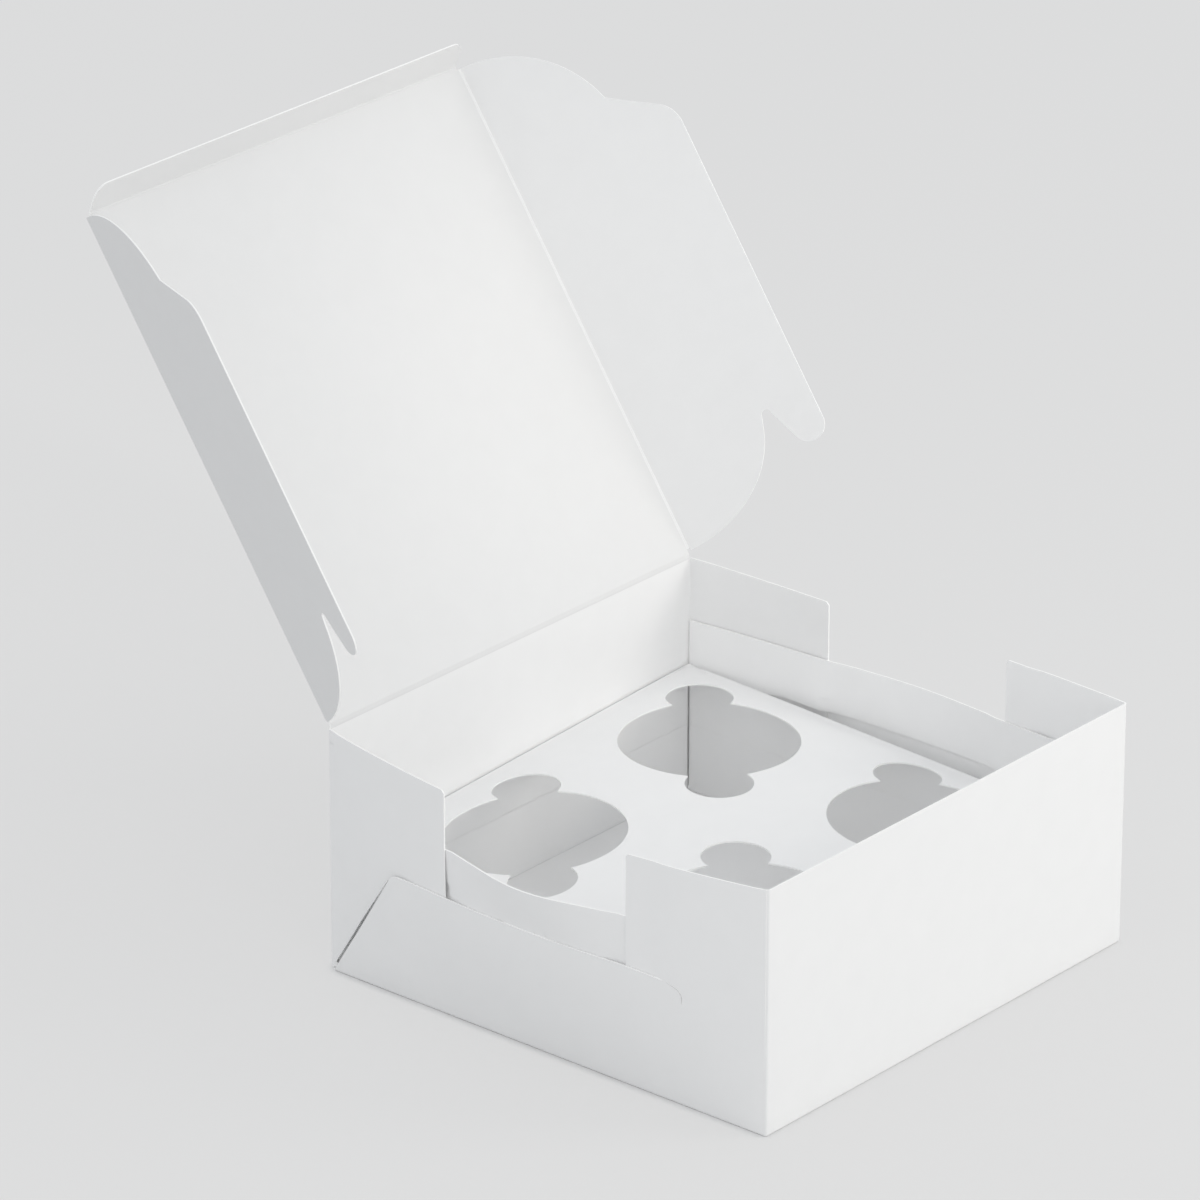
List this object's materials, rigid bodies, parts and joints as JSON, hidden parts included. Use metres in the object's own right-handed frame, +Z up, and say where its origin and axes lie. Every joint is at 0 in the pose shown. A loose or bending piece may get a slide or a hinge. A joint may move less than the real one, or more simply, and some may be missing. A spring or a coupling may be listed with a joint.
{
  "type": "cupcake box",
  "caption": "Square folding card box for cupcakes: low tray with locked side walls, a holed insert that holds the cakes upright, and a hinged lid with tuck flaps and a lip.",
  "frame": {"origin": "middle of the base, on its underside, where the box stands", "axes": "+Z up, -Y towards the front wall that the lid's lip closes behind, +Y towards the rear wall with the lid's hinge, +X to the right seen from the front"},
  "size_m": [0.2058, 0.2497, 0.2156],
  "materials": {
    "tray_card": "smooth coated",
    "lid_card": "smooth coated",
    "insert_card": "matt"
  },
  "bodies": {
    "tray": {"tray": "tray_card", "insert": "insert_card"},
    "lid": {"lid": "lid_card"},
    "side_flap_left": {"lid_side_flap_left": "lid_card"},
    "side_flap_right": {"lid_side_flap_right": "lid_card"},
    "front_lip": {"lid_front_lip": "lid_card"}
  },
  "joints": [
    {"name": "lid_hinge", "type": "hinge", "parent": "tray", "child": "lid", "pos_m": [0, 0.07977, 0.0758], "axis": [1, 0, 0], "range_deg": [-75, 124.5]},
    {"name": "side_flap_left_fold", "type": "hinge", "parent": "lid", "child": "side_flap_left", "pos_m": [-0.07945, 0.07953, 0.07597], "axis": [0, 0.5664, 0.8241], "range_deg": [-51.5, 85]},
    {"name": "side_flap_right_fold", "type": "hinge", "parent": "lid", "child": "side_flap_right", "pos_m": [0.07945, 0.07953, 0.07597], "axis": [0, -0.5664, -0.8241], "range_deg": [-51.5, 85]},
    {"name": "front_lip_fold", "type": "hinge", "parent": "lid", "child": "front_lip", "pos_m": [0, 0.16955, 0.20642], "axis": [1, 0, 0], "range_deg": [-23, 38]}
  ],
  "couplings": [
    {"joint": "side_flap_left_fold", "follows": "lid_hinge", "ratio": 0.68},
    {"joint": "side_flap_right_fold", "follows": "lid_hinge", "ratio": 0.68},
    {"joint": "front_lip_fold", "follows": "lid_hinge", "ratio": 0.3}
  ]
}
